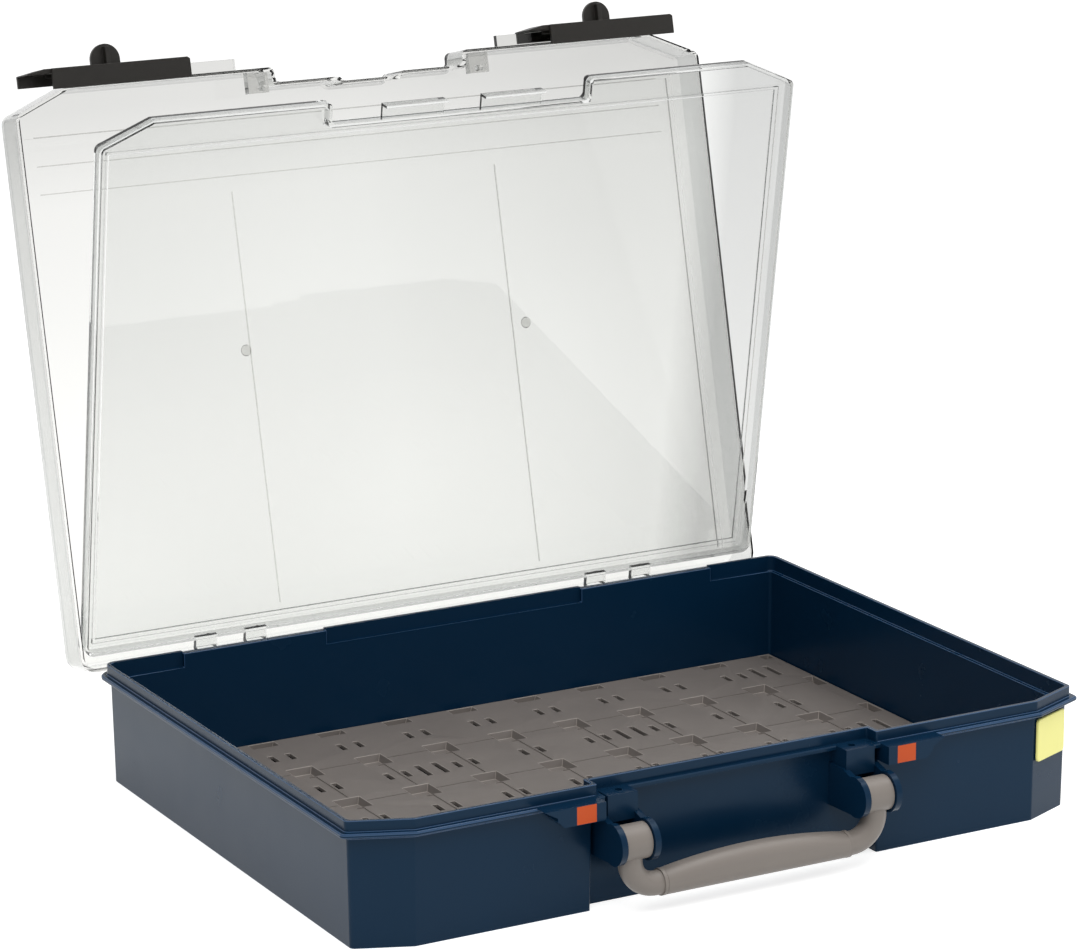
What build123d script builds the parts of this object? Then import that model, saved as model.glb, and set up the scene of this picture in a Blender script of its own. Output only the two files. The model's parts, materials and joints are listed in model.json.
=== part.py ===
from build123d import *
import os

# Assortment case: a shallow moulded tray, an insert plate on its floor, two clear lids that nest
# on one hinge line, a carrying handle, and two sliding latches on the outer lid.
# Millimetres. +X is right, +Y is back, +Z is up. The origin is the centre of the tray's underside.
# The lids are drawn shut and then swung open about the hinge line, as they stand at rest.

# Footprint of the case, measured at the tray's flange
CASE_WIDTH = 416.0
CASE_DEPTH = 303.0
CHAMFER_X = 32.2
CHAMFER_Y = 13.8
BACK_CORNER_R = 9.0

# Heights in the tray and the shut case
FLANGE_ROOT = 54.4
FLANGE_BOTTOM = 56.4
FLANGE_TOP = 58.4
FLANGE_EDGE = 0.6
LIP_TOP = 63.8
LEDGE_HEIGHT = 55.4
CASE_HEIGHT = 83.0

# Tray walls
FLOOR = 2.4
WALL = 2.4
WALL_INSET_FOOT = 5.7
WALL_INSET_TOP = 4.9
LIP_INSET = 3.1
LIP_WALL = 2.2
RECESS_HALF = 75.5
RECESS_DEPTH = 8.0

# Hinge line, and the two stretches of back wall that carry it
HINGE_Y = 158.2
HINGE_Z = 46.8
PIN_R = 2.0
KNUCKLE_R = 4.6
RUNNING_GAP = 0.06
SIDE_GAP = 0.4
HINGE_ZONE = (80.0, 159.0)
INNER_OPEN = 81.0
OUTER_OPEN = 102.6

# Lids
LID_GAP = 0.35
INNER_WALL = 1.8
INNER_INSET = 3.3
INNER_FRONT = 6.5
INNER_TOP = 72.6
INNER_NOTCH_HALF = 72.5
INNER_NOTCH_DEPTH = 11.5
OUTER_WALL = 2.0
OUTER_INSET = 0.8
OUTER_FRONT = 6.1
OUTER_NOTCH_HALF = 56.2
OUTER_NOTCH_DEPTH = 8.3
SCOOP_HALF = 16.0
SCOOP_DEPTH = 2.5
PANEL_DEPTH = 1.6

# Handle and its two clevises
BARREL_X = 68.0
BARREL_R = 8.8
BARREL_LENGTH = 14.0
BARREL_Y = -162.2
BARREL_Z = 37.5
TRUNNION_R = 3.5
EAR_R = 10.2
EAR_THICK = 3.2
LEG_R = 6.0
LEG_X = 68.9
LEG_BEND_R = 13.5
CORE_R = 4.3
COLLAR_R = 6.7
COLLAR_LENGTH = 1.8
GRIP_Z = 14.6
GRIP_HALF = 51.2
GRIP_END = 12.4
GRIP_MIDDLE = 16.8
GRIP_DEPTH = 13.8
GRIP_ROUND = 5.9

# Catch pads, indicators, bracket blocks and latches
PAD_X = (79.5, 105.5)
PAD_WING_X = 112.5
PAD_FRONT = -158.6
PAD_BOTTOM = 49.2
INDICATOR_X = 90.0
INDICATOR_SIZE = 10.6
BLOCK_X = 67.0
BLOCK_WIDTH = 16.4
BLOCK_FRONT = -152.5
BLOCK_BOTTOM = 45.0
BLOCK_TOP = FLANGE_TOP
PEG_X = 65.8
PEG_Y = -146.0
PEG_HOLE_R = 1.9
PEG_R = 1.5
RAIL_X = (79.5, 172.0)
RAIL_FRONT = -162.9
RAIL_TOP = 62.2
RAIL_GAP = 0.4
LATCH_LEFT_END = {-1: -202.2, 1: 94.2}
LATCH_LENGTH = 92.0
LATCH_OPEN_END = 13.5
LATCH_FRONT = -165.8
LATCH_WALL = 1.9
LATCH_BOTTOM = 46.9
LATCH_LIP_BACK = -155.0
TAB_R = 8.2
TAB_REACH = 10.7
TAB_Z = (51.5, 54.1)

# Colour tag on the right front chamfer
TAG_WIDTH = 25.4
TAG_HEIGHT = 22.4
TAG_THICK = 1.5
TAG_SHIFT = -1.3

# Insert plate: a grid of cells, one pocket at each crossing of the grid lines
CELL_X = 39.8
CELL_Y = 55.6
PLATE_X = 398.0
PLATE_Y = 278.0
PLATE_TOP = 7.2
PLATE_THICK = 2.0
PLATE_RIM = 1.2
POCKET_X = 15.0
POCKET_Y = 16.0
POCKET_DRAFT = 1.3
POCKET_DEPTH = 4.0
SLOT_X = 3.0
SHORT_SLOT = 9.8
LONG_SLOT = 17.5
SLOT_PITCH = 10.0

HALF_X = CASE_WIDTH / 2
HALF_Y = CASE_DEPTH / 2
FRONT_Y = -HALF_Y
PLATE_MID_Y = 4.0
INNER_FLOOR_INSET = WALL_INSET_FOOT + WALL
PIN_BORE_R = PIN_R + RUNNING_GAP
OUTER_FACE_Y = FRONT_Y - OUTER_FRONT + OUTER_INSET
RECESS_WALL_Y = FRONT_Y + RECESS_DEPTH + WALL_INSET_TOP + 0.5
PAD_SEAT_Z = (PAD_BOTTOM + 0.2, FLANGE_TOP - 0.1)


def box(x, y, z):
    """Box from three (low, high) pairs."""
    size = [abs(b - a) for a, b in (x, y, z)]
    mid = [(a + b) / 2 for a, b in (x, y, z)]
    return Pos(*mid) * Box(*size)


def both_sides(low, high, side):
    """A stretch along X on the left (-1) or right (+1) half."""
    return tuple(sorted((side * low, side * high)))


def round_corners(face, where, radius):
    """Round the sharp corners of a footprint that lie where a test says."""
    return fillet(face.vertices().filter_by(where), radius)


def outline(inset, front=0.0, notch_half=RECESS_HALF, notch_depth=RECESS_DEPTH, scoop=0.0,
            bend_r=3.0, step_r=1.0):
    """Footprint with chamfered front corners and a step back in the front edge."""
    yf = FRONT_Y - front
    yn = yf + notch_depth
    edge = [(HALF_X - CHAMFER_X, yf), (HALF_X, yf + CHAMFER_Y), (HALF_X, HALF_Y)]
    notch = [(notch_half, yf), (notch_half, yn)]
    if scoop:
        notch += [(SCOOP_HALF + scoop, yn), (SCOOP_HALF, yn + scoop)]
    right = list(reversed(notch)) + edge
    left = [(-x, y) for x, y in reversed(right)]
    face = Polygon(*right, *left, align=None)
    if inset:
        face = offset(face, amount=-inset, kind=Kind.INTERSECTION)
    face = round_corners(face, lambda v: v.Y > 0, max(BACK_CORNER_R - inset, 1.5))
    face = round_corners(face, lambda v: v.Y < 0 and abs(v.X) > notch_half + 20, bend_r)
    return round_corners(face, lambda v: v.Y < 0 and abs(v.X) < notch_half + 15, step_r)


def slab(face, low, high):
    """Upright prism of a footprint between two heights."""
    return extrude(Pos(0, 0, low) * face, amount=high - low)


def tapered(low_face, low, high_face, high):
    """Drafted prism between two footprints with the same corners."""
    return loft([Pos(0, 0, low) * low_face, Pos(0, 0, high) * high_face], ruled=True)


def swing(shape, degrees):
    """Open a lid part by turning it up and back about the hinge line."""
    line = Pos(0, HINGE_Y, HINGE_Z)
    return line * Rot(-degrees, 0, 0) * line.inverse() * shape


def x_rod(radius, low, high, y, z):
    """Round rod along X."""
    return Pos((low + high) / 2, y, z) * Rot(0, 90, 0) * Cylinder(radius, abs(high - low))


def x_plate(face_yz, low, high):
    """Plate of constant section: a face drawn in (Y, Z), spread along X."""
    return extrude(Plane.YZ.offset(low) * face_yz, amount=high - low)


def hinge_sections():
    """Who owns each stretch of a hinge zone, from the middle of the case outwards."""
    start, end = HINGE_ZONE
    middle = (start + end) / 2
    base = [(start, start + 8), (middle - 8, middle + 8), (end - 8, end)]
    outer = [(start + 8 + SIDE_GAP, start + 18.4), (end - 18.4, end - 8 - SIDE_GAP)]
    inner = [(start + 18.8, middle - 8 - SIDE_GAP), (middle + 8 + SIDE_GAP, end - 18.8)]
    return {"base": base, "outer": outer, "inner": inner}


def knuckle(x, root, bore):
    """Hinge knuckle with its web: root is the web's (Y, Z) rectangle where it leaves the wall."""
    (y0, y1), (z0, z1) = root
    eye = Pos(HINGE_Y, HINGE_Z) * Circle(KNUCKLE_R)
    foot = Pos((y0 + y1) / 2, (z0 + z1) / 2) * Rectangle(y1 - y0, z1 - z0)
    section = make_hull(eye.edges() + foot.edges()) - Pos(HINGE_Y, HINGE_Z) * Circle(bore)
    return x_plate(section, *x)


def front_wall_y():
    """Outer face of the tray's front wall, at the height of the pads."""
    return FRONT_Y + WALL_INSET_TOP + 0.1


def tray_shell():
    """Drafted tray with its flange, its lip and the ledge inside the lip."""
    wall_top = outline(WALL_INSET_TOP)
    flange = outline(0)
    edge_low = FLANGE_TOP - FLANGE_EDGE
    shell = tapered(outline(WALL_INSET_FOOT), 0, wall_top, FLANGE_ROOT)
    shell += tapered(wall_top, FLANGE_ROOT, flange, FLANGE_BOTTOM)
    shell += slab(flange, FLANGE_BOTTOM, edge_low)
    shell += tapered(flange, edge_low, outline(FLANGE_EDGE), FLANGE_TOP)
    shell += slab(outline(LIP_INSET), FLANGE_TOP, LIP_TOP)
    inner_foot = outline(INNER_FLOOR_INSET)
    inner_top = outline(WALL_INSET_TOP + WALL)
    shell -= tapered(inner_foot, FLOOR, inner_top, LEDGE_HEIGHT)
    shell -= slab(inner_top, LEDGE_HEIGHT, LIP_TOP)
    rebate = slab(outline(LIP_INSET + LIP_WALL), LEDGE_HEIGHT, LIP_TOP)
    for side in (-1, 1):
        x = both_sides(HINGE_ZONE[0] - 2, HINGE_ZONE[1] + 2, side)
        rebate -= box(x, (HALF_Y - 20, HALF_Y), (LEDGE_HEIGHT - 1, LIP_TOP + 1))
        shell -= box(x, (HALF_Y - 20, HALF_Y), (LIP_TOP - 0.8, LIP_TOP + 1))
    return shell - rebate


def ear_plate(low, high):
    """One ear of a handle clevis: a disc with a web back to the recess wall."""
    disc = Pos(BARREL_Y, BARREL_Z) * Circle(EAR_R)
    web = Polygon((BARREL_Y + 3, BARREL_Z - 9.7), (RECESS_WALL_Y, 27), (RECESS_WALL_Y, BLOCK_BOTTOM + 4),
                  (BLOCK_FRONT + 2, BLOCK_BOTTOM + 4), (BARREL_Y + 3, BARREL_Z + 9), align=None)
    return x_plate(disc + web, low, high)


def clevis(side):
    """Two ears with blind trunnion sockets that face each other."""
    half = BARREL_LENGTH / 2 + SIDE_GAP
    near = (BARREL_X - half - EAR_THICK, BARREL_X - half)
    far = (BARREL_X + half, BARREL_X + half + EAR_THICK)
    ears = Part()
    for low, high in (near, far):
        ears += ear_plate(*both_sides(low, high, side))
    depth = 2.0
    reach = both_sides(near[1] - depth, far[0] + depth, side)
    return ears, x_rod(TRUNNION_R + RUNNING_GAP, *reach, BARREL_Y, BARREL_Z)


def bracket_block(side):
    """Block in front of the recess wall with a hole for the lid's peg."""
    x = both_sides(BLOCK_X - BLOCK_WIDTH / 2, BLOCK_X + BLOCK_WIDTH / 2, side)
    block = box(x, (BLOCK_FRONT, RECESS_WALL_Y), (BLOCK_BOTTOM, BLOCK_TOP))
    hole = Pos(side * PEG_X, PEG_Y, BLOCK_TOP - 3) * Cylinder(PEG_HOLE_R, 6.01)
    return block, hole


def catch_pad(side):
    """Catch that the latch hooks under, with a wing outwards and a seat for the indicator."""
    near, far = PAD_X
    slope = 3.5
    section = Polygon((near, PAD_BOTTOM), (far - slope, PAD_BOTTOM), (far, PAD_BOTTOM + slope),
                      (far, FLANGE_ROOT), (PAD_WING_X, FLANGE_TOP), (near, FLANGE_TOP), align=None)
    pad = extrude(Plane.XZ.offset(-front_wall_y()) * section, amount=front_wall_y() - PAD_FRONT)
    if side < 0:
        pad = mirror(pad, Plane.YZ)
    return pad - indicator_space(side, PAD_FRONT - 1)


def indicator_space(side, front):
    """Block that an indicator fills, from a front face back to the bottom of its seat."""
    middle = side * INDICATOR_X
    half = INDICATOR_SIZE / 2
    return box((middle - half, middle + half), (front, PAD_FRONT + 1.0), PAD_SEAT_Z)


def indicator(side):
    """Coloured chip pressed into the pad, hidden when the latch is shut."""
    return indicator_space(side, PAD_FRONT)


def tag_place():
    """Frame on the right front chamfer: X along the face, Z outwards."""
    inset = WALL_INSET_TOP + 0.15
    a = Vector(HALF_X - CHAMFER_X - inset * 0.2, FRONT_Y + inset, 0)
    b = Vector(HALF_X - inset, FRONT_Y + CHAMFER_Y + inset * 0.65, 0)
    along = (b - a).normalized()
    out = Vector(along.Y, -along.X, 0)
    return Plane(origin=(a + b) * 0.5 + Vector(0, 0, 42), x_dir=along, z_dir=out), (b - a).length


def tag_seat():
    """Low pad on the chamfer that carries the colour tag."""
    place, width = tag_place()
    return place * Pos(TAG_SHIFT, 0, -0.7) * Box(width - 9, 19, 2.4)


def colour_tag():
    """Rounded plate clipped on the right front chamfer."""
    place, _ = tag_place()
    plate = extrude(RectangleRounded(TAG_WIDTH, TAG_HEIGHT, 2.0), amount=TAG_THICK)
    plate = chamfer(plate.faces().sort_by(Axis.Z)[-1].edges(), 0.4)
    return place * Pos(TAG_SHIFT, 0, 0.5) * plate


def base_tray():
    """The navy tray with everything moulded onto it."""
    tray = tray_shell()
    cuts = []
    for side in (-1, 1):
        block, hole = bracket_block(side)
        ears, sockets = clevis(side)
        tray += block
        tray += ears
        tray += catch_pad(side)
        cuts += [hole, sockets]
        wall_y = HALF_Y - WALL_INSET_TOP
        for x in hinge_sections()["base"]:
            tray += knuckle(both_sides(*x, side), ((wall_y - 1.2, wall_y + 1), (36, 54)), PIN_R)
    tray += tag_seat()
    for cut in cuts:
        tray -= cut
    return tray


def hinge_pin(side):
    """Pin through one hinge zone."""
    return x_rod(PIN_R, *both_sides(*HINGE_ZONE, side), HINGE_Y, HINGE_Z)


def pocket(x, y):
    """Sunk pocket at a crossing of the grid: its shell below the plate and its hollow."""
    low = PLATE_TOP - PLATE_THICK
    narrow = 2 * POCKET_DRAFT
    foot = tapered(Pos(x, y) * Rectangle(POCKET_X - 0.4, POCKET_Y - 0.4), FLOOR,
                   Pos(x, y) * Rectangle(POCKET_X + narrow, POCKET_Y + narrow), low + 0.5)
    hollow = tapered(Pos(x, y) * Rectangle(POCKET_X - narrow, POCKET_Y - narrow), PLATE_TOP - POCKET_DEPTH,
                     Pos(x, y) * Rectangle(POCKET_X, POCKET_Y), PLATE_TOP)
    return foot, hollow


def slot_places():
    """Centres and lengths of the slots, in pairs on the grid lines between the pockets."""
    short = [(CELL_X * i, CELL_Y * m, SHORT_SLOT) for i in range(-4, 5) for m in range(-2, 3)]
    long = [(s * 1.5 * CELL_X, m * CELL_Y, LONG_SLOT) for s in (-1, 1) for m in (-1, 1)]
    long += [(s * 4.5 * CELL_X, m * CELL_Y, LONG_SLOT) for s in (-1, 1) for m in (-2, 0, 2)]
    return short + long


def insert_plate():
    """Grey plate on the tray floor, with pockets and slots on the cell grid."""
    x_half, y_half = PLATE_X / 2, PLATE_Y / 2
    area = box((-x_half, x_half), (-y_half, y_half), (FLOOR, PLATE_TOP))
    area &= Pos(0, -PLATE_MID_Y, 0) * slab(outline(INNER_FLOOR_INSET + 0.35), FLOOR, PLATE_TOP)
    plate = box((-x_half, x_half), (-y_half, y_half), (PLATE_TOP - PLATE_THICK, PLATE_TOP))
    inside = box((PLATE_RIM - x_half, x_half - PLATE_RIM), (PLATE_RIM - y_half, y_half - PLATE_RIM),
                 (FLOOR, PLATE_TOP))
    feet, hollows, slots = [], [], []
    for i in range(-5, 6):
        for j in range(6):
            foot, hollow = pocket(CELL_X * i, CELL_Y * (j - 2.5))
            feet.append(foot)
            at_edge = abs(i) == 5 or j in (0, 5)
            hollows.append(hollow & inside if at_edge else hollow)
    for x, y, length in slot_places():
        for dx in (-SLOT_PITCH / 2, SLOT_PITCH / 2):
            slots.append(Pos(x + dx, y, PLATE_TOP) * Box(SLOT_X, length, 8))
    plate = (plate + feet) & area
    plate = plate - hollows - slots
    return Pos(0, PLATE_MID_Y, 0) * plate


def lid_shell(inset, front, notch, scoop, low, top, wall, edge_r, panel):
    """Thin-walled lid, shut: rounded top edges and a sunk panel with sharp corners."""
    form = dict(front=front, notch_half=notch[0], notch_depth=notch[1], scoop=scoop, step_r=edge_r + 0.3)
    skin = slab(outline(inset, bend_r=edge_r + 2, **form), low, top)
    skin = fillet(skin.faces().sort_by(Axis.Z)[-1].edges(), edge_r)
    hollow = slab(outline(inset + wall, **form), low, top - wall)
    hollow = chamfer(hollow.faces().sort_by(Axis.Z)[-1].edges(), edge_r * 0.45)
    (x0, x1), (y0, y1) = panel
    hollow -= box((x0 - wall, x1 + wall), (y0 - wall, y1 + wall), (top - wall - PANEL_DEPTH, top))
    return skin - hollow - box((x0, x1), (y0, y1), (top - PANEL_DEPTH, top + 1))


def inner_lid():
    """Clear lid that closes on the tray's lip, with its hinge arms."""
    low = LIP_TOP + LID_GAP
    half = HALF_X - 11.2
    panel = ((-half, half), (-126.5, 141.5))
    notch = (INNER_NOTCH_HALF, INNER_NOTCH_DEPTH)
    front = INNER_INSET - INNER_FRONT
    lid = lid_shell(INNER_INSET, front, notch, 0, low, INNER_TOP, INNER_WALL, 2.0, panel)
    clip_back = FRONT_Y + INNER_FRONT + INNER_NOTCH_DEPTH + 1
    for side in (-1, 1):
        x = both_sides(11, 47, side)
        lid += box(x, (clip_back - 9.7, clip_back), (low, low + 1.8))
        lid += box(x, (clip_back - 9.7, clip_back - 8.4), (FLANGE_TOP + 1.2, low + 1))
        for span in hinge_sections()["inner"]:
            x = both_sides(*span, side)
            lid += knuckle(x, ((HALF_Y + 1.2, HALF_Y + 3.4), (64, 68.6)), PIN_BORE_R)
            lid += box(x, (HALF_Y - INNER_INSET - 1, HALF_Y + 2), (65.6, 68.6))
    return lid


def latch_rail(side):
    """Rail along the outer lid's front wall that a latch slides on."""
    x = both_sides(*RAIL_X, side)
    return box(x, (RAIL_FRONT, OUTER_FACE_Y + 1), (FLANGE_TOP + LID_GAP, RAIL_TOP))


def outer_lid():
    """Deep clear lid that closes over the inner lid, with rails, pegs and hinge webs."""
    low = FLANGE_TOP + LID_GAP
    half = HALF_X - 11
    panel = ((-half, half), (-131.5, 139.0))
    notch = (OUTER_NOTCH_HALF, OUTER_NOTCH_DEPTH)
    lid = lid_shell(OUTER_INSET, OUTER_FRONT, notch, SCOOP_DEPTH, low, CASE_HEIGHT, OUTER_WALL, 3.0, panel)
    inner_y = OUTER_FACE_Y + OUTER_WALL
    for side in (-1, 1):
        lid += latch_rail(side)
        x = both_sides(BLOCK_X - 6, BLOCK_X + 6, side)
        lid += box(x, (inner_y - 1, PEG_Y + PEG_R + 1), (BLOCK_TOP + 1, BLOCK_TOP + 6))
        lid += Pos(side * PEG_X, PEG_Y, BLOCK_TOP - 1) * Cylinder(PEG_R, 6)
        for span in hinge_sections()["inner"]:
            x = both_sides(span[0] - SIDE_GAP, span[1] + SIDE_GAP, side)
            lid -= box(x, (HALF_Y - 5, HALF_Y + 1), (low - 1, 71.5))
        for span in hinge_sections()["outer"]:
            x = both_sides(*span, side)
            lid += knuckle(x, ((HALF_Y + 0.45, HALF_Y + 3.4), (60, 67)), PIN_BORE_R)
            lid += box(x, (HALF_Y - 1.8, HALF_Y + 2), (60, 67))
    return lid


def latch(side):
    """Sliding latch: a channel round the rail, a lip that hooks under the pad, a thumb tab.

    Both latches are the same moulding, with the open, slanted end on the left."""
    start = LATCH_LEFT_END[side]
    end = start + LATCH_LENGTH
    hook = start + LATCH_OPEN_END
    web_back = RAIL_FRONT - RAIL_GAP
    top = RAIL_TOP + RAIL_GAP
    under = FLANGE_TOP + LID_GAP - RAIL_GAP
    plan = Polygon((start, LATCH_FRONT + 2), (start + 10, LATCH_FRONT), (end - 1.5, LATCH_FRONT),
                   (end, LATCH_FRONT + 1), (end, web_back), (start, web_back), align=None)
    body = slab(plan, LATCH_BOTTOM, top + LATCH_WALL)
    low = (LATCH_BOTTOM, LATCH_BOTTOM + LATCH_WALL)
    body -= box((start - 1, hook), (LATCH_FRONT - 1, web_back + 1), (low[0] - 1, low[1]))
    body += box((start, end), (web_back - 0.5, OUTER_FACE_Y - 0.5), (top, top + LATCH_WALL))
    body += box((hook, end), (web_back - 0.5, LATCH_LIP_BACK), low)
    body += box((hook, end), (web_back - 0.5, web_back + 2), (under - 1.4, under))
    return body + thumb_tab((start + end) / 2)


def thumb_tab(middle):
    """Half-round tab on the latch's front face, with a rib below it."""
    straight = TAB_REACH - TAB_R
    face = Pos(middle, LATCH_FRONT - straight) * Circle(TAB_R)
    face += Pos(middle, LATCH_FRONT - straight / 2 + 0.5) * Rectangle(2 * TAB_R, straight + 1)
    face &= Pos(middle, LATCH_FRONT - 9.5) * Rectangle(4 * TAB_R, 21)
    rib = box((middle - 1.2, middle + 1.2), (LATCH_FRONT - TAB_REACH + 1.5, LATCH_FRONT + 0.5),
              (LATCH_BOTTOM + 0.7, TAB_Z[0] + 0.3))
    return slab(face, *TAB_Z) + rib


def handle_bow():
    """Two barrels with trunnions, bent legs, and the core through the grip."""
    bow = x_rod(CORE_R, -GRIP_HALF - 3, GRIP_HALF + 3, BARREL_Y, GRIP_Z)
    for side in (-1, 1):
        half = BARREL_LENGTH / 2
        bow += x_rod(BARREL_R, *both_sides(BARREL_X - half, BARREL_X + half, side), BARREL_Y, BARREL_Z)
        reach = half + SIDE_GAP + 1.6
        bow += x_rod(TRUNNION_R, *both_sides(BARREL_X - reach, BARREL_X + reach, side), BARREL_Y, BARREL_Z)
        top = (side * LEG_X, BARREL_Y, BARREL_Z - 2)
        corner = (side * LEG_X, BARREL_Y, GRIP_Z)
        end = (side * GRIP_HALF, BARREL_Y, GRIP_Z)
        path = FilletPolyline(top, corner, end, radius=LEG_BEND_R)
        bow += sweep(Plane(origin=top, z_dir=(0, 0, -1)) * Circle(LEG_R), path=path)
        collar = both_sides(GRIP_HALF, GRIP_HALF + COLLAR_LENGTH, side)
        bow += x_rod(COLLAR_R, *collar, BARREL_Y, GRIP_Z)
    return bow


def handle_grip():
    """Hand grip sleeved on the bow: a straight lower line, an arched top and well-rounded long edges."""
    low = GRIP_Z - GRIP_END / 2
    high = low + GRIP_END
    crown = low + GRIP_MIDDLE
    sides = Polyline((-GRIP_HALF, high), (-GRIP_HALF, low), (GRIP_HALF, low), (GRIP_HALF, high))
    top = ThreePointArc((GRIP_HALF, high), (0, crown), (-GRIP_HALF, high))
    profile = make_face(sides.edges() + top.edges())
    grip = extrude(Plane.XZ.offset(-BARREL_Y - GRIP_DEPTH / 2) * profile, amount=GRIP_DEPTH)
    long_edges = grip.edges().filter_by(lambda e: e.length > GRIP_HALF)
    grip = fillet(long_edges, GRIP_ROUND)
    return grip - x_rod(CORE_R, -GRIP_HALF - 1, GRIP_HALF + 1, BARREL_Y, GRIP_Z)


def build():
    """Every sub-part at rest, by node name."""
    parts = {
        "base_tray": base_tray(),
        "insert_plate": insert_plate(),
        "inner_lid": swing(inner_lid(), INNER_OPEN),
        "outer_lid": swing(outer_lid(), OUTER_OPEN),
        "handle_bow": handle_bow(),
        "handle_grip": handle_grip(),
        "colour_tag": colour_tag(),
    }
    for name, side in (("left", -1), ("right", 1)):
        parts["latch_" + name] = swing(latch(side), OUTER_OPEN)
        parts["hinge_pin_" + name] = hinge_pin(side)
        parts["indicator_" + name] = indicator(side)
    return parts


os.makedirs("parts", exist_ok=True)
for node, shape in build().items():
    solids = shape.solids()
    box_now = shape.bounding_box()
    low, high = box_now.min, box_now.max
    spans = [f"{a:.1f} {b:.1f}" for a, b in ((low.X, high.X), (low.Y, high.Y), (low.Z, high.Z))]
    print(f"{node}: {len(solids)} solid, x {spans[0]}, y {spans[1]}, z {spans[2]}")
    export_step(Part(children=[]) + shape, f"parts/{node}.step")
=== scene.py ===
# %% [markdown]
# Assortment case, finished for a studio picture.
# The case is a shallow navy tray with a grey insert plate on its floor, two clear lids that nest on
# one hinge line, two dark sliding latches and a grey drop handle. Its sizes are fixed by the packed
# model. This notebook adds what a maker of pictures adds: finishes, softened mould edges, light,
# a floor and a camera.

# %% Load the fixed frame
import json
import math

import bpy
from mathutils import Matrix, Vector


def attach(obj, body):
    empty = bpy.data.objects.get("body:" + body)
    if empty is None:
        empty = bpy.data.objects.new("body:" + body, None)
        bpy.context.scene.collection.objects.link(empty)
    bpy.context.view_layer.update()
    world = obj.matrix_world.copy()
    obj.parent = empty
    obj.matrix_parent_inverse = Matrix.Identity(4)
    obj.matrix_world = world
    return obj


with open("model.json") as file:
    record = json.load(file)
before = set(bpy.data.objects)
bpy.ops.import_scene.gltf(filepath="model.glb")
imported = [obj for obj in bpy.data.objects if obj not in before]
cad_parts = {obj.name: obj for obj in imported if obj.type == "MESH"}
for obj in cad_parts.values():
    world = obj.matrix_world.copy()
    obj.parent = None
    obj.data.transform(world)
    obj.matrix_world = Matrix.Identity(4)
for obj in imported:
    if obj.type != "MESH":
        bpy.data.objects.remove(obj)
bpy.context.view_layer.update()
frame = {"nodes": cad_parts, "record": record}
nodes = frame["nodes"]
print("nodes:", ", ".join(sorted(nodes)))

# %% [markdown]
# Everything below is in metres, because the frame is. Small sizes on a moulding are easier to read
# in millimetres, so one named value turns them into metres. Colours are easier to read as the
# numbers of a screen, and a helper turns those into the linear numbers that a shader takes.

# %% Units
MM = 0.001


def linear(r, g, b):
    """A screen colour from 0 to 255 as the linear numbers that a shader takes."""
    def one(v):
        v = v / 255
        return v / 12.92 if v <= 0.04045 else ((v + 0.055) / 1.055) ** 2.4
    return (one(r), one(g), one(b), 1.0)


# %% [markdown]
# The camera is a real lens at a real place. The photograph's view was worked out by fitting a
# pinhole camera to corners of the tray: where it stands, where it looks, and how long its lens is.
# The focal length is given in pixels of the photograph, and Blender wants millimetres on a 36 mm
# sensor, so it is scaled. The optical axis is a little off the middle of the picture, and the
# camera's shift holds that.

# %% Camera
PHOTO_WIDTH = 1080
PHOTO_HEIGHT = 949
CAMERA_PLACE = Vector((-977.8, -1734.3, 691.5)) * MM
LOOK_AZIMUTH = 28.783
LOOK_DOWN = 14.303
ROLL = -0.457
FOCAL_PIXELS = 4070.8
AXIS_PIXEL = (542.7, 450.2)
SENSOR = 36.0
NEAREST, FARTHEST = 0.05, 50


def photo_camera():
    """Camera at the photograph's place and angle."""
    data = bpy.data.cameras.new("photo_camera")
    data.sensor_width = SENSOR
    data.lens = FOCAL_PIXELS * SENSOR / PHOTO_WIDTH
    data.shift_x = (PHOTO_WIDTH / 2 - AXIS_PIXEL[0]) / PHOTO_WIDTH
    data.shift_y = (AXIS_PIXEL[1] - PHOTO_HEIGHT / 2) / PHOTO_WIDTH
    data.clip_start, data.clip_end = NEAREST, FARTHEST
    camera = bpy.data.objects.new("photo_camera", data)
    azimuth, down = math.radians(LOOK_AZIMUTH), math.radians(LOOK_DOWN)
    level = math.cos(down)
    look = Vector((math.sin(azimuth) * level, math.cos(azimuth) * level, -math.sin(down)))
    right = look.cross(Vector((0, 0, 1))).normalized()
    up = right.cross(look)
    roll = math.radians(ROLL)
    turned_right = right * math.cos(roll) + up * math.sin(roll)
    turned_up = up * math.cos(roll) - right * math.sin(roll)
    axes = Matrix((turned_right, turned_up, -look)).transposed()
    camera.matrix_world = Matrix.Translation(CAMERA_PLACE) @ axes.to_4x4()
    bpy.context.scene.collection.objects.link(camera)
    bpy.context.scene.camera = camera
    return camera


camera = photo_camera()
print("lens, mm:", round(camera.data.lens, 1))

# %% [markdown]
# A material is a small net of nodes. Noise gives the unevenness, and two helpers put it to use: one
# spreads a range of numbers over another, and one turns a number into the ups and downs of a skin.
# The noise is laid in object space, so it keeps its real size and stays put when a part moves.

# %% Material helpers
NOISE_MIDDLE = (0.3, 0.7)


def new_material(name):
    """Node material with a Principled shader."""
    material = bpy.data.materials.new(name)
    material.use_nodes = True
    tree = material.node_tree
    return material, tree, tree.nodes["Principled BSDF"]


def add_noise(tree, scale, detail=2.0):
    """Noise in object space: scale is in features per metre."""
    coords = tree.nodes.new("ShaderNodeTexCoord")
    noise = tree.nodes.new("ShaderNodeTexNoise")
    noise.inputs["Scale"].default_value = scale
    noise.inputs["Detail"].default_value = detail
    tree.links.new(coords.outputs["Object"], noise.inputs["Vector"])
    return noise.outputs["Fac"]


def spread(tree, value, old_range, new_range):
    """A value moved from one range to another."""
    node = tree.nodes.new("ShaderNodeMapRange")
    node.inputs["From Min"].default_value, node.inputs["From Max"].default_value = old_range
    node.inputs["To Min"].default_value, node.inputs["To Max"].default_value = new_range
    tree.links.new(value, node.inputs["Value"])
    return node.outputs["Result"]


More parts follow.
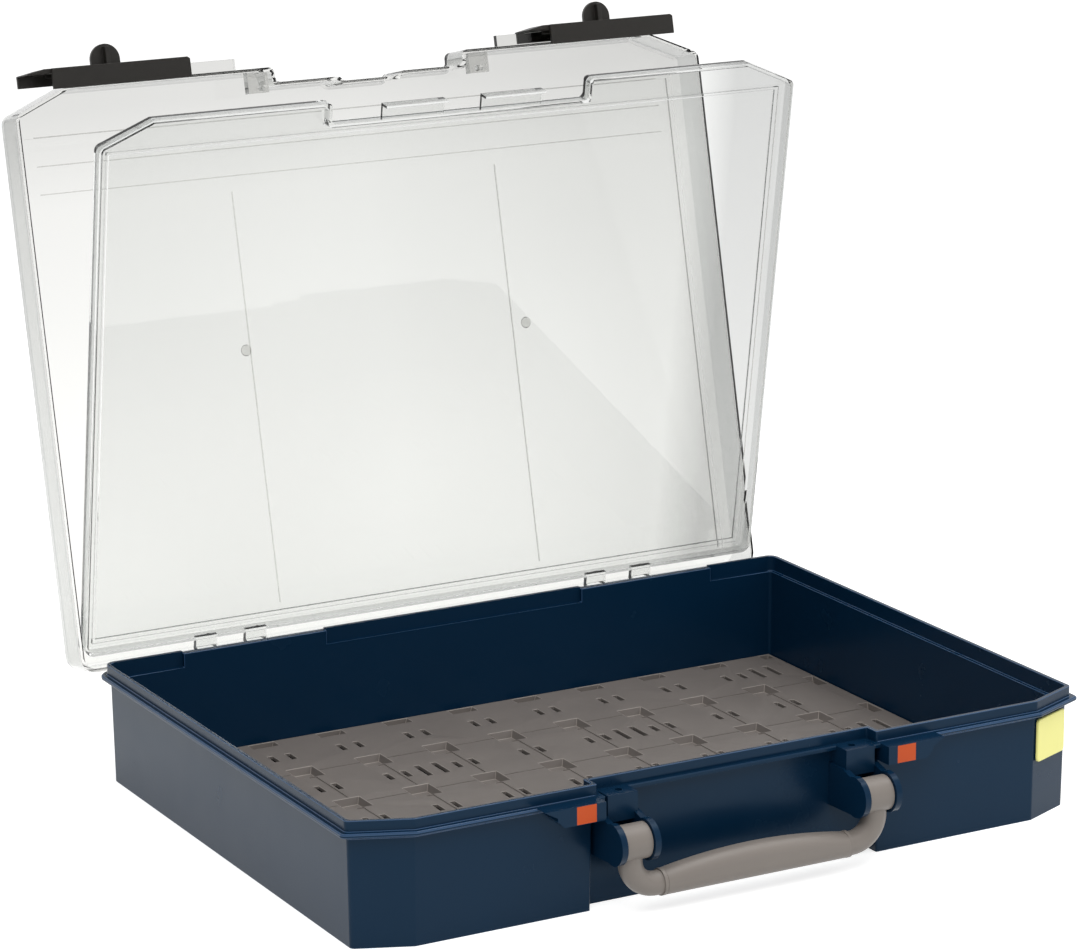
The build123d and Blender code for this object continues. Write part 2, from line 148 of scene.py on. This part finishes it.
def add_bump(tree, shader, height, strength, depth):
    """A skin whose normals follow a height."""
    bump = tree.nodes.new("ShaderNodeBump")
    bump.inputs["Strength"].default_value = strength
    bump.inputs["Distance"].default_value = depth
    tree.links.new(height, bump.inputs["Height"])
    tree.links.new(bump.outputs["Normal"], shader.inputs["Normal"])


print("noise is used from", NOISE_MIDDLE[0], "to", NOISE_MIDDLE[1])

# %% [markdown]
# Moulded plastic is never a flat colour. Its colour drifts a little over a large wall, its skin has
# a fine grain from the mould, and its gloss is uneven where hands and boxes have rubbed it. One
# function makes all of these, so that each finish below is a row of plain numbers.

# %% Plastic maker
COLOUR_PATCHES = (9.0, 3.0)
RUBBED_PATCHES = (40.0, 4.0)
GRAIN_STRENGTH = 0.3


def moulded_plastic(name, colour, drift, roughness, grain_size, grain_depth, specular=0.5):
    """Opaque plastic: drifting colour, uneven gloss and a fine mould grain."""
    material, tree, shader = new_material(name)
    shader.inputs["Specular IOR Level"].default_value = specular
    ramp = tree.nodes.new("ShaderNodeValToRGB")
    for stop, position, tone in zip(ramp.color_ramp.elements, NOISE_MIDDLE, (1 - drift, 1 + drift)):
        stop.position = position
        stop.color = [min(c * tone, 1) for c in colour[:3]] + [1]
    tree.links.new(add_noise(tree, *COLOUR_PATCHES), ramp.inputs["Fac"])
    tree.links.new(ramp.outputs["Color"], shader.inputs["Base Color"])
    gloss = spread(tree, add_noise(tree, *RUBBED_PATCHES), NOISE_MIDDLE, roughness)
    tree.links.new(gloss, shader.inputs["Roughness"])
    add_bump(tree, shader, add_noise(tree, 1 / grain_size), GRAIN_STRENGTH, grain_depth)
    return material


print("colour patches per metre:", COLOUR_PATCHES[0], "rubbed patches:", RUBBED_PATCHES[0])

# %% [markdown]
# The tray is navy polypropylene. Its broad walls mirror the studio softly, which makes the left
# side look grey and the inside nearly black. So the colour itself is dark, and the gloss, which
# grows as a wall turns away from the eye, does the rest. A bluish tint on that gloss keeps the wall
# from going plain grey. The insert and the handle are a warm grey, the latches nearly black.

# %% Opaque finishes
NAVY = linear(8, 37, 61)
WARM_GREY = linear(117, 111, 107)
HANDLE_GREY = linear(130, 123, 117)
NEAR_BLACK = linear(31, 29, 26)
ORANGE = linear(200, 80, 30)
PALE_YELLOW = linear(253, 248, 152)
SHEEN_TINT = (0.62, 0.82, 1.0, 1.0)

finishes = {
    "tray": moulded_plastic(
        "tray_navy", NAVY, drift=0.06, roughness=(0.2, 0.28),
        grain_size=0.5 * MM, grain_depth=0.012 * MM, specular=0.19),
    "insert": moulded_plastic(
        "insert_grey", WARM_GREY, drift=0.04, roughness=(0.42, 0.52),
        grain_size=0.4 * MM, grain_depth=0.02 * MM, specular=0.3),
    "handle": moulded_plastic(
        "handle_grey", HANDLE_GREY, drift=0.04, roughness=(0.34, 0.44),
        grain_size=0.4 * MM, grain_depth=0.015 * MM, specular=0.4),
    "latch": moulded_plastic(
        "latch_black", NEAR_BLACK, drift=0.08, roughness=(0.38, 0.5),
        grain_size=0.35 * MM, grain_depth=0.02 * MM, specular=0.3),
    "indicator": moulded_plastic(
        "indicator_orange", ORANGE, drift=0.03, roughness=(0.42, 0.5),
        grain_size=0.3 * MM, grain_depth=0.01 * MM, specular=0.3),
    "tag": moulded_plastic(
        "tag_yellow", PALE_YELLOW, drift=0.03, roughness=(0.36, 0.46),
        grain_size=0.3 * MM, grain_depth=0.01 * MM),
}
tray_shader = finishes["tray"].node_tree.nodes["Principled BSDF"]
tray_shader.inputs["Specular Tint"].default_value = SHEEN_TINT
print("opaque finishes:", ", ".join(finishes))

# %% [markdown]
# In the photograph, parts of the clear lids look a little darker than the rest: the outer lid at its
# free edge and to the right, the inner one at its right end. The cause doesn't show in the picture; here
# it is painted in as shade: a zone of darker colour, set by its place along one axis, stands for it.
# Tints are multiplied, so zones can lie over each other.

# %% Zones of painted shade
# The Mix node lists sockets for every kind of data. These numbers pick the ones for colour.
COLOUR_A, COLOUR_B, COLOUR_RESULT = 6, 7, 2
# Each zone paints shade into a lid's colour.
FREE_EDGE = {"axis": "Z", "span": (285 * MM, 335 * MM), "tone": 0.88}
RIGHT_HALF = {"axis": "X", "span": (0.0, 150 * MM), "tone": 0.88}
RIGHT_END = {"axis": "X", "span": (143 * MM, 172 * MM), "tone": 0.7}


def multiply(tree, first, second):
    """Two colours multiplied."""
    mix = tree.nodes.new("ShaderNodeMix")
    mix.data_type = "RGBA"
    mix.blend_type = "MULTIPLY"
    mix.inputs["Factor"].default_value = 1.0
    tree.links.new(first, mix.inputs[COLOUR_A])
    tree.links.new(second, mix.inputs[COLOUR_B])
    return mix.outputs[COLOUR_RESULT]


def painted_shade_zone(tree, axis, span, tone):
    """Painted shade: 1 before a span along an axis of the part, the darker tone after it."""
    coords = tree.nodes.new("ShaderNodeTexCoord")
    split = tree.nodes.new("ShaderNodeSeparateXYZ")
    tree.links.new(coords.outputs["Object"], split.inputs["Vector"])
    return spread(tree, split.outputs[axis], span, (1.0, tone))


print("deeper zones, tones:", [zone["tone"] for zone in (FREE_EDGE, RIGHT_HALF, RIGHT_END)])

# %% [markdown]
# The lids are clear polycarbonate. Light bends in them, so their rims and edges draw darker lines, and a
# flat panel only greys the background a little. A refracting shader gives both. On top of that, the
# colour is painted by how far a surface turns from the eye: the lid's own pale tint where the eye looks
# straight through, painted shade where a wall slopes, which deepens the dark edge lines, and a painted
# reflection, pale towards white, where the eye only skims along it, which is where a real wall mostly
# mirrors the white studio. A refracting body throws a hard black shadow unless light may pass straight
# through it, so for shadow rays the material is a pale clear one.

# %% Clear finish
INNER_TINT = linear(241, 242, 241)
OUTER_TINT = linear(232, 232, 230)
# Painted shade on sloping walls, and a painted reflection, white, where the eye skims.
SLOPING_PAINTED_SHADE = linear(198, 200, 199)
SKIMMING_PAINTED_REFLECTION = (1.0, 1.0, 1.0, 1.0)
SHADOW_TINT = linear(238, 239, 237)
FACING_STOP, SLOPING_STOP = 0.15, 0.42
TURN_BLEND = 0.35
CLEAR_IOR = 1.34
TINT_PATCHES = 3.0
TINT_DRIFT = (0.94, 1.0)
WAVES = 14.0
WAVE_STRENGTH = 0.15
WAVE_DEPTH = 0.3 * MM


def tint_with_painted_edge_light(tree, tint):
    """Lid tint with painted shade where a wall slopes and a painted reflection where the eye skims."""
    turned = tree.nodes.new("ShaderNodeLayerWeight")
    turned.inputs["Blend"].default_value = TURN_BLEND
    ramp = tree.nodes.new("ShaderNodeValToRGB")
    first, last = ramp.color_ramp.elements
    first.position, first.color = FACING_STOP, tint
    last.color = SKIMMING_PAINTED_REFLECTION
    ramp.color_ramp.elements.new(SLOPING_STOP).color = SLOPING_PAINTED_SHADE
    tree.links.new(turned.outputs["Facing"], ramp.inputs["Fac"])
    return ramp.outputs["Color"]


def let_shadow_rays_through(tree, shader):
    """Pale transparent shader for shadow rays, the given one for all others."""
    ways = tree.nodes.new("ShaderNodeLightPath")
    through = tree.nodes.new("ShaderNodeBsdfTransparent")
    through.inputs["Color"].default_value = SHADOW_TINT
    mix = tree.nodes.new("ShaderNodeMixShader")
    factor, for_others, for_shadows = mix.inputs
    tree.links.new(ways.outputs["Is Shadow Ray"], factor)
    tree.links.new(shader.outputs["BSDF"], for_others)
    tree.links.new(through.outputs["BSDF"], for_shadows)
    tree.links.new(mix.outputs["Shader"], tree.nodes["Material Output"].inputs["Surface"])


def clear_plastic(name, tint, painted_shade_zones):
    """Clear polycarbonate that refracts, with painted shade in the given zones and a light shadow."""
    material, tree, shader = new_material(name)
    shader.inputs["Transmission Weight"].default_value = 1.0
    shader.inputs["IOR"].default_value = CLEAR_IOR
    shader.inputs["Specular IOR Level"].default_value = 0.5
    shader.inputs["Roughness"].default_value = 0.0
    toned = tint_with_painted_edge_light(tree, tint)
    # Painted shade: each zone darkens the colour along one axis.
    for zone in painted_shade_zones:
        toned = multiply(tree, toned, painted_shade_zone(tree, **zone))
    drift = spread(tree, add_noise(tree, TINT_PATCHES), NOISE_MIDDLE, TINT_DRIFT)
    tree.links.new(multiply(tree, toned, drift), shader.inputs["Base Color"])
    add_bump(tree, shader, add_noise(tree, WAVES), WAVE_STRENGTH, WAVE_DEPTH)
    let_shadow_rays_through(tree, shader)
    return material


finishes["clear_lid"] = clear_plastic("lid_clear", OUTER_TINT, (FREE_EDGE, RIGHT_HALF))
inner_clear = clear_plastic("inner_lid_clear", INNER_TINT, (RIGHT_END,))
print("clear finishes:", finishes["clear_lid"].name, inner_clear.name)

# %% [markdown]
# The hinge pins are taken as plain drawn steel, because the photograph hides them. The knuckles
# cover most of their length. Noise in the roughness gives the slightly uneven shine of drawn wire.

# %% Steel finish
STEEL = linear(176, 176, 174)
STEEL_ROUGHNESS = (0.25, 0.4)
DRAWN_PATCHES = 300.0


def plain_steel(name):
    """Drawn steel."""
    material, tree, shader = new_material(name)
    shader.inputs["Base Color"].default_value = STEEL
    shader.inputs["Metallic"].default_value = 1.0
    gloss = spread(tree, add_noise(tree, DRAWN_PATCHES), NOISE_MIDDLE, STEEL_ROUGHNESS)
    tree.links.new(gloss, shader.inputs["Roughness"])
    return material


finishes["pin"] = plain_steel("pin_steel")
print("finishes:", len(finishes))

# %% [markdown]
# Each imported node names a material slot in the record. The node keeps its shape and gets the
# finish of that slot. Only the inner lid has a finish of its own, because it looks paler in the
# photograph than the outer one.

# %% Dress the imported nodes
slot_of = {row["node"]: row["material_slot"] for row in frame["record"]["subparts"]}
for name, part in nodes.items():
    part.data.materials.clear()
    part.data.materials.append(inner_clear if name == "inner_lid" else finishes[slot_of[name]])
print("dressed nodes:", len(nodes))

# %% [markdown]
# The insert plate has shallow channels on the grid lines between its pockets: broad ones from front
# to back, and fine ones from side to side. They are real shapes and not a bump, so they are cut
# with a Boolean modifier, whose cutter is a set of plain bars that is hidden from the picture. The
# plate's own mesh stays as it is. The bars are in millimetres and stand a little out of the plate.

# %% Channels in the insert plate
CELL_WIDTH, CELL_DEPTH = 39.8, 55.6
COLUMN_LINES = range(-4, 5)
COLUMNS = range(-5, 5)
ROW_LINES = (-1.5, -0.5, 0.5, 1.5)
MIDDLE_ROWS = (-1, 0, 1)
PLATE_MIDDLE = 4.0
PLATE_TOP = 7.2
CHANNEL_DEPTH = 0.45
CUTTER_RISE = 1
POCKET_HALF_WIDTH, POCKET_HALF_DEPTH = 8.1, 8.7
BROAD_HALF, FINE_HALF = 2.0, 0.4
BAR_FACES = ((3, 2, 1, 0), (4, 5, 6, 7), (0, 1, 5, 4), (1, 2, 6, 5), (2, 3, 7, 6), (3, 0, 4, 7))


def bar_mesh(name, boxes):
    """One mesh of upright boxes, each given by its lowest and highest corner in millimetres."""
    corners, faces = [], []
    for (x0, y0, z0), (x1, y1, z1) in boxes:
        first = len(corners)
        for z in (z0, z1):
            corners += [Vector((x, y, z)) * MM for x, y in ((x0, y0), (x1, y0), (x1, y1), (x0, y1))]
        faces += [[first + corner for corner in face] for face in BAR_FACES]
    mesh = bpy.data.meshes.new(name)
    mesh.from_pydata(corners, [], faces)
    return mesh


def channel_box(x, y, half_width, half_depth):
    """Bar for one channel, from the channel's floor to above the plate."""
    floor, top = PLATE_TOP - CHANNEL_DEPTH, PLATE_TOP + CUTTER_RISE
    return (x - half_width, y - half_depth, floor), (x + half_width, y + half_depth, top)


def channel_boxes():
    """Bars along the grid lines, from pocket to pocket."""
    boxes = []
    reach_x, reach_y = CELL_WIDTH / 2 - POCKET_HALF_WIDTH, CELL_DEPTH / 2 - POCKET_HALF_DEPTH
    for line in COLUMN_LINES:
        for row in MIDDLE_ROWS:
            x, y = line * CELL_WIDTH, PLATE_MIDDLE + row * CELL_DEPTH
            boxes.append(channel_box(x, y, BROAD_HALF, reach_y))
    for line in ROW_LINES:
        for column in COLUMNS:
            x, y = (column + 0.5) * CELL_WIDTH, PLATE_MIDDLE + line * CELL_DEPTH
            boxes.append(channel_box(x, y, reach_x, FINE_HALF))
    return boxes


channels = channel_boxes()
channel_cutter = bpy.data.objects.new("channel_cutter", bar_mesh("channel_cutter", channels))
bpy.context.scene.collection.objects.link(channel_cutter)
channel_cutter.hide_render = channel_cutter.hide_viewport = True
print("channels:", len(channels))

# %% [markdown]
# On the tray and the insert plate the narrow rounds of the edges take a paler finish. It is a painted
# highlight, which draws the rims as thin pale lines.

# %% Painted highlight finishes for the edges
# Painted highlight colours for the edge rounds.
EDGE_HIGHLIGHT_NAVY = linear(38, 70, 104)
EDGE_HIGHLIGHT_GREY = linear(152, 145, 139)
painted_edge_highlights = {
    "tray": moulded_plastic(
        "tray_edge_painted_highlight", EDGE_HIGHLIGHT_NAVY, drift=0.12, roughness=(0.25, 0.4),
        grain_size=0.5 * MM, grain_depth=0.01 * MM, specular=0.4),
    "insert": moulded_plastic(
        "insert_edge_painted_highlight", EDGE_HIGHLIGHT_GREY, drift=0.08, roughness=(0.35, 0.5),
        grain_size=0.4 * MM, grain_depth=0.01 * MM, specular=0.4),
}
print("rubbed edges:", ", ".join(painted_edge_highlights))

# %% [markdown]
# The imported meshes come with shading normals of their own, which no longer fit once an edge is
# rounded. A node group drops them and marks everything smooth, so that the last modifier of the
# chain can set the shading afresh. A node group works like a modifier, so the mesh stays as it is.

# %% Even shading
def new_group(name):
    """Geometry node group, with its way in and its way out."""
    group = bpy.data.node_groups.new(name, "GeometryNodeTree")
    for way in ("INPUT", "OUTPUT"):
        group.interface.new_socket("Geometry", in_out=way, socket_type="NodeSocketGeometry")
    source = group.nodes.new("NodeGroupInput").outputs["Geometry"]
    result = group.nodes.new("NodeGroupOutput").inputs["Geometry"]
    return group, source, result


def even_shading():
    """Node group that drops imported normals and marks every face and edge smooth."""
    group, source, result = new_group("even_shading")
    drop = group.nodes.new("GeometryNodeRemoveAttribute")
    drop.inputs["Name"].default_value = "custom_normal"
    group.links.new(source, drop.inputs["Geometry"])
    last = drop.outputs["Geometry"]
    for domain in ("FACE", "EDGE"):
        smooth = group.nodes.new("GeometryNodeSetShadeSmooth")
        smooth.domain = domain
        group.links.new(last, smooth.inputs["Geometry"])
        last = smooth.outputs["Geometry"]
    group.links.new(last, result)
    return group


even_group = even_shading()
print("node group:", even_group.name)

# %% [markdown]
# The tray has fine catches at the front middle and lugs at the hinges, with very small faces. A
# bevel broke faces there. So on the tray only the edges away from both get a bevel weight, and the
# sharp edges that are left out stay crisp, or the shading would smear over them. The limits are
# places on the tray.

# %% Edges to round on the tray
EDGE_ANGLE = 38
CATCH_REACH = 116 * MM
CATCH_BACK = -130 * MM
CATCH_TOP = 58.9 * MM
HINGE_FRONT = 146 * MM


def compared(group, value, operation, limit):
    """A yes or no field from a number and a limit."""
    node = group.nodes.new("FunctionNodeCompare")
    node.data_type = "FLOAT"
    node.operation = operation
    node.inputs["B"].default_value = limit
    group.links.new(value, node.inputs["A"])
    return node.outputs["Result"]


def combined(group, operation, first, second):
    """Two yes or no fields joined by a logical operation."""
    node = group.nodes.new("FunctionNodeBooleanMath")
    node.operation = operation
    group.links.new(first, node.inputs[0])
    group.links.new(second, node.inputs[1])
    return node.outputs["Boolean"]


def away_from_fine_parts(group):
    """Yes for places outside the box round the catches and in front of the hinge lugs."""
    position = group.nodes.new("GeometryNodeInputPosition")
    place = group.nodes.new("ShaderNodeSeparateXYZ")
    group.links.new(position.outputs["Position"], place.inputs["Vector"])
    outside = compared(group, place.outputs["X"], "GREATER_THAN", CATCH_REACH)
    for axis, operation, limit in (
            ("X", "LESS_THAN", -CATCH_REACH),
            ("Y", "GREATER_THAN", CATCH_BACK),
            ("Z", "GREATER_THAN", CATCH_TOP)):
        past = compared(group, place.outputs[axis], operation, limit)
        outside = combined(group, "OR", outside, past)
    in_front = compared(group, place.outputs["Y"], "LESS_THAN", HINGE_FRONT)
    return combined(group, "AND", outside, in_front)


def rim_edges():
    """Node group that weights the edges to round and keeps the other sharp ones crisp."""
    group, source, result = new_group("rim_edges")
    angle = group.nodes.new("GeometryNodeInputMeshEdgeAngle").outputs["Unsigned Angle"]
    sharp = compared(group, angle, "GREATER_THAN", math.radians(EDGE_ANGLE))
    rounded = combined(group, "AND", away_from_fine_parts(group), sharp)
    store = group.nodes.new("GeometryNodeStoreNamedAttribute")
    store.data_type, store.domain = "FLOAT", "EDGE"
    store.inputs["Name"].default_value = "bevel_weight_edge"
    group.links.new(source, store.inputs["Geometry"])
    group.links.new(rounded, store.inputs["Value"])
    crisp = group.nodes.new("GeometryNodeSetShadeSmooth")
    crisp.domain = "EDGE"
    crisp.inputs["Shade Smooth"].default_value = False
    group.links.new(combined(group, "NIMPLY", sharp, rounded), crisp.inputs["Selection"])
    group.links.new(store.outputs["Geometry"], crisp.inputs["Geometry"])
    group.links.new(crisp.outputs["Geometry"], result)
    return group


rim_group = rim_edges()
print("node group:", rim_group.name)

# %% [markdown]
# A mould can't make a razor edge. Real edges have a tiny round that catches a line of light. The
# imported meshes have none, and their flat walls are split into triangles. So a short chain of
# modifiers works on each: the corners are joined, flat walls become single faces, edges sharper
# than a limit get a narrow bevel, and the shading normals are weighted by face size, so that a
# flat wall shades flat right up to its edge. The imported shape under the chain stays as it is. The
# channels are cut last, into the softened plate.

# %% Soften the mould edges
EDGE_ROUND = {"tray": 0.35, "insert": 0.25, "latch": 0.3, "clear_lid": 0.3, "tag": 0.2, "handle": 0.25}
JOIN_DISTANCE = 0.002 * MM
FLAT_ANGLE = 0.4
BEVEL_STEPS = 2
FACE_SIZE_WEIGHT = 90


def soften(part, width, edge_highlight_finish):
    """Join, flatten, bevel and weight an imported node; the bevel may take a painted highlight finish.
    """
    by_weight = part.name == "base_tray"
    part.modifiers.new("even_shading", "NODES").node_group = even_group
    part.modifiers.new("join_corners", "WELD").merge_threshold = JOIN_DISTANCE
    flat = part.modifiers.new("whole_walls", "DECIMATE")
    flat.decimate_type = "DISSOLVE"
    flat.angle_limit = math.radians(FLAT_ANGLE)
    if by_weight:
        part.modifiers.new("rim_edges", "NODES").node_group = rim_group
    bevel = part.modifiers.new("mould_edge", "BEVEL")
    bevel.width = width
    bevel.segments = BEVEL_STEPS
    bevel.limit_method = "WEIGHT" if by_weight else "ANGLE"
    bevel.angle_limit = math.radians(EDGE_ANGLE)
    bevel.use_clamp_overlap = not edge_highlight_finish
    # The bevel's rounds take the painted highlight finish.
    if edge_highlight_finish:
        part.data.materials.append(edge_highlight_finish)
        bevel.material = len(part.data.materials) - 1
    weights = part.modifiers.new("wall_normals", "WEIGHTED_NORMAL")
    weights.weight = FACE_SIZE_WEIGHT
    weights.keep_sharp = True


softened = [name for name in nodes if slot_of[name] in EDGE_ROUND]
for name in softened:
    slot = slot_of[name]
    soften(nodes[name], EDGE_ROUND[slot] * MM, painted_edge_highlights.get(slot))
cut = nodes["insert_plate"].modifiers.new("channels", "BOOLEAN")
cut.operation = "DIFFERENCE"
cut.object = channel_cutter
cut.solver = "EXACT"
print("softened nodes:", len(softened))

# %% [markdown]
# The outer lid's panel has thin moulded lines: two that run from front to back beside the middle,
# three across near the free edge, and two small round gate marks, where the plastic entered the
# mould. They are drawn on the shut lid, in millimetres, where heights are easy to read, and then
# swung open about the hinge with the lid's own angle. They ride with the lid and share its finish.

# %% Lines on the outer lid
HINGE = Vector((0, 158.2, 46.8)) * MM
OUTER_OPEN = math.radians(102.6)
PANEL_TOP = 81.4
LINE_HEIGHT, LINE_ROOT = 0.3, 0.05
LINE_HALF = 0.3
LONG_LINES_X = (-80.5, 80.5)
LONG_LINE_FRONT, LONG_LINE_BACK = -93, 131
CROSS_LINES_Y = (-131.8, -116.5, -101.6)
CROSS_LINE_REACH = 190


def opened(mesh):
    """Swing a mesh of the shut outer lid open about the hinge line."""
    swing = Matrix.Rotation(-OUTER_OPEN, 4, "X")
    mesh.transform(Matrix.Translation(HINGE) @ swing @ Matrix.Translation(-HINGE))
    return mesh


def new_piece(mesh, body, material_slot):
    """Object that rides on a body and takes its finish from a slot."""
    piece = bpy.data.objects.new(mesh.name, mesh)
    bpy.context.scene.collection.objects.link(piece)
    piece.data.materials.append(finishes[material_slot])
    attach(piece, body)
    return piece


def line_boxes():
    """The straight lines of the panel."""
    low, high = PANEL_TOP - LINE_ROOT, PANEL_TOP + LINE_HEIGHT
    boxes = []
    for x in LONG_LINES_X:
        boxes.append(((x - LINE_HALF, LONG_LINE_FRONT, low), (x + LINE_HALF, LONG_LINE_BACK, high)))
    for y in CROSS_LINES_Y:
        boxes.append(((-CROSS_LINE_REACH, y - LINE_HALF, low), (CROSS_LINE_REACH, y + LINE_HALF, high)))
    return boxes


lid_lines = new_piece(opened(bar_mesh("lid_lines", line_boxes())), "outer_lid", "clear_lid")
print("made", lid_lines.name, "with", len(line_boxes()), "lines")

# %% [markdown]
# A gate mark is a low round boss with a dimple. It is spun like a pot: each point of a short
# profile, a radius and a height above the panel, becomes a ring of corners, and faces join ring to
# ring. One flat face closes the dimple and another the root.

# %% Gate marks
GATE_PROFILE = ((1.2, 0.12), (2.2, 0.32), (2.8, 0.3), (3.1, -LINE_ROOT))
GATE_STEPS = 32
GATE_PLACES = {"left": (-83, -7), "right": (89, -3)}


def gate_mark(name, x, y):
    """Low round boss with a dimple, spun from a short profile."""
    corners, faces = [], []
    for radius, height in GATE_PROFILE:
        for step in range(GATE_STEPS):
            turn = 2 * math.pi * step / GATE_STEPS
            place = (x + radius * math.cos(turn), y + radius * math.sin(turn), PANEL_TOP + height)
            corners.append(Vector(place) * MM)
    for ring in range(len(GATE_PROFILE) - 1):
        for step in range(GATE_STEPS):
            a, b = ring * GATE_STEPS + step, ring * GATE_STEPS + (step + 1) % GATE_STEPS
            faces.append((a + GATE_STEPS, b + GATE_STEPS, b, a))
    faces.append(tuple(range(GATE_STEPS)))
    faces.append(tuple(reversed(range(len(corners) - GATE_STEPS, len(corners)))))
    mesh = bpy.data.meshes.new(name)
    mesh.from_pydata(corners, [], faces)
    return mesh


for side, (x, y) in GATE_PLACES.items():
    mark = new_piece(opened(gate_mark("gate_mark_" + side, x, y)), "outer_lid", "clear_lid")
    print("made", mark.name)

# %% [markdown]
# The floor is a large pale sheet. In the photograph nothing of a floor shows, only white. So for
# the camera, and for rays that were mirrored or bent, the sheet gives off a little light of its
# own, enough to look white where it is lit, and still darker in the object's soft shadow. Light
# that scatters from the floor on to the object is not changed by it. The world works the same way:
# white where it is seen, and much weaker as a lamp.

# %% Floor and world
FLOOR_COLOUR = linear(228, 228, 227)
FLOOR_ROUGHNESS = 0.9
FLOOR_REACH = 15
FLOOR_GLOW = 0.7
WORLD_LIGHT = 0.45
WHITE = (1, 1, 1, 1)


def seen_directly(tree):
    """1 for camera, mirrored and refracted rays, 0 for light that falls on a surface."""
    ways = tree.nodes.new("ShaderNodeLightPath")
    value = ways.outputs["Is Camera Ray"]
    for name in ("Is Glossy Ray", "Is Transmission Ray"):
        larger = tree.nodes.new("ShaderNodeMath")
        larger.operation = "MAXIMUM"
        tree.links.new(value, larger.inputs[0])
        tree.links.new(ways.outputs[name], larger.inputs[1])
        value = larger.outputs["Value"]
    return value


def strength_by_ray(tree, unseen, seen):
    """One strength for light that falls on a surface, another for what is seen."""
    return spread(tree, seen_directly(tree), (0.0, 1.0), (unseen, seen))


def pale_floor():
    """Big plain floor."""
    reach = FLOOR_REACH
    corners = [(-reach, -reach, 0), (reach, -reach, 0), (reach, reach, 0), (-reach, reach, 0)]
    mesh = bpy.data.meshes.new("floor")
    mesh.from_pydata(corners, [], [(0, 1, 2, 3)])
    floor = bpy.data.objects.new("floor", mesh)
    bpy.context.scene.collection.objects.link(floor)
    material, tree, shader = new_material("floor_pale")
    shader.inputs["Base Color"].default_value = FLOOR_COLOUR
    shader.inputs["Roughness"].default_value = FLOOR_ROUGHNESS
    shader.inputs["Specular IOR Level"].default_value = 0.0
    shader.inputs["Emission Color"].default_value = WHITE
    tree.links.new(strength_by_ray(tree, 0.0, FLOOR_GLOW), shader.inputs["Emission Strength"])
    floor.data.materials.append(material)
    return floor


def studio_world():
    """White world that lights the case only weakly."""
    world = bpy.data.worlds.new("studio")
    bpy.context.scene.world = world
    world.use_nodes = True
    sky = world.node_tree.nodes["Background"]
    sky.inputs["Color"].default_value = WHITE
    world.node_tree.links.new(strength_by_ray(world.node_tree, WORLD_LIGHT, 1.0), sky.inputs["Strength"])
    return world


floor = pale_floor()
world = studio_world()
print("made", floor.name, "and", world.name)

# %% [markdown]
# Three soft boxes light the case. A broad one high on the front left lights the insert's front more
# than its far corner. One overhead is mirrored in the round edges of the rim, and draws them as thin
# pale lines. A weak one stands on the right. The first and the last are not mirrored, and none is
# seen through clear plastic, so that no bright patch shows in the lids.

# %% Lamps
CASE_MIDDLE = (0, 0, 0.05)


def soft_box(name, place, target, size, power, mirrored):
    """Rectangular area lamp that faces a target."""
    data = bpy.data.lights.new(name, "AREA")
    data.shape = "RECTANGLE"
    data.size, data.size_y = size
    data.energy = power
    lamp = bpy.data.objects.new(name, data)
    lamp.location = place
    lamp.rotation_euler = (Vector(target) - Vector(place)).to_track_quat("-Z", "Y").to_euler()
    lamp.visible_glossy = mirrored
    lamp.visible_transmission = False
    bpy.context.scene.collection.objects.link(lamp)
    return lamp


lamps = [
    soft_box("front_left", place=(-0.7, -1.1, 1.7), target=CASE_MIDDLE,
             size=(1.6, 1.3), power=18, mirrored=False),
    soft_box("overhead", place=(0.5, -0.3, 1.7), target=CASE_MIDDLE,
             size=(1.3, 1.0), power=9, mirrored=True),
    soft_box("right_side", place=(1.6, -0.6, 1.0), target=(0, 0, 0.1),
             size=(1.0, 1.0), power=7, mirrored=False),
]
bpy.context.scene.view_settings.view_transform = "Standard"
print("lamps:", ", ".join(lamp.name for lamp in lamps))
